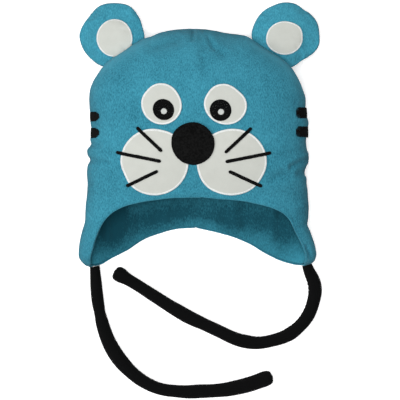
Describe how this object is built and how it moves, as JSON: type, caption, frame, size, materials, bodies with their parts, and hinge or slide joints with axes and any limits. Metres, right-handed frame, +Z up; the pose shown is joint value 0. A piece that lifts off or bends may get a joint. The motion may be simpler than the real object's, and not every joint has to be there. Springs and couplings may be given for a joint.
{
  "type": "child's fleece hat with ear flaps, round ears and ties",
  "caption": "Soft fleece hat with ear flaps, padded round ears, a felt animal face, a fleece lining and two stuffed ties, lying on its back.",
  "frame": {"origin": "middle of the hat's outline without its ties, on the surface that it lies on", "axes": "+Y from the flaps to the crown, +Z up from the back to the face, +X to the right of the face as seen"},
  "size_m": [0.2424, 0.3973, 0.083],
  "materials": {
    "blue_fleece": "soft short pile",
    "lining_fleece": "soft short pile",
    "white_felt": "matt felt with a satin edge",
    "white_thread": "satin embroidery",
    "black_felt": "matt felt",
    "black_thread": "satin embroidery",
    "tie_cloth": "matt brushed knit"
  },
  "bodies": {
    "root": {"shell_front": "blue_fleece", "shell_back_left": "blue_fleece", "shell_back_right": "blue_fleece", "lining_front": "lining_fleece", "lining_back_left": "lining_fleece", "lining_back_right": "lining_fleece", "ear_left": "blue_fleece", "ear_right": "blue_fleece", "ear_patch_left": "white_felt", "ear_patch_right": "white_felt", "eye_white_left": "white_felt", "eye_white_right": "white_felt", "pupil_left": "black_thread", "pupil_right": "black_thread", "eye_glint_left": "white_thread", "eye_glint_right": "white_thread", "muzzle_left": "white_felt", "muzzle_right": "white_felt", "nose": "black_felt", "whisker_left_top": "black_thread", "whisker_left_middle": "black_thread", "whisker_left_low": "black_thread", "whisker_right_top": "black_thread", "whisker_right_middle": "black_thread", "whisker_right_low": "black_thread", "stripe_left_top": "black_thread", "stripe_left_low": "black_thread", "stripe_right_top": "black_thread", "stripe_right_low": "black_thread", "tie_left": "tie_cloth", "tie_right": "tie_cloth"}
  },
  "joints": []
}
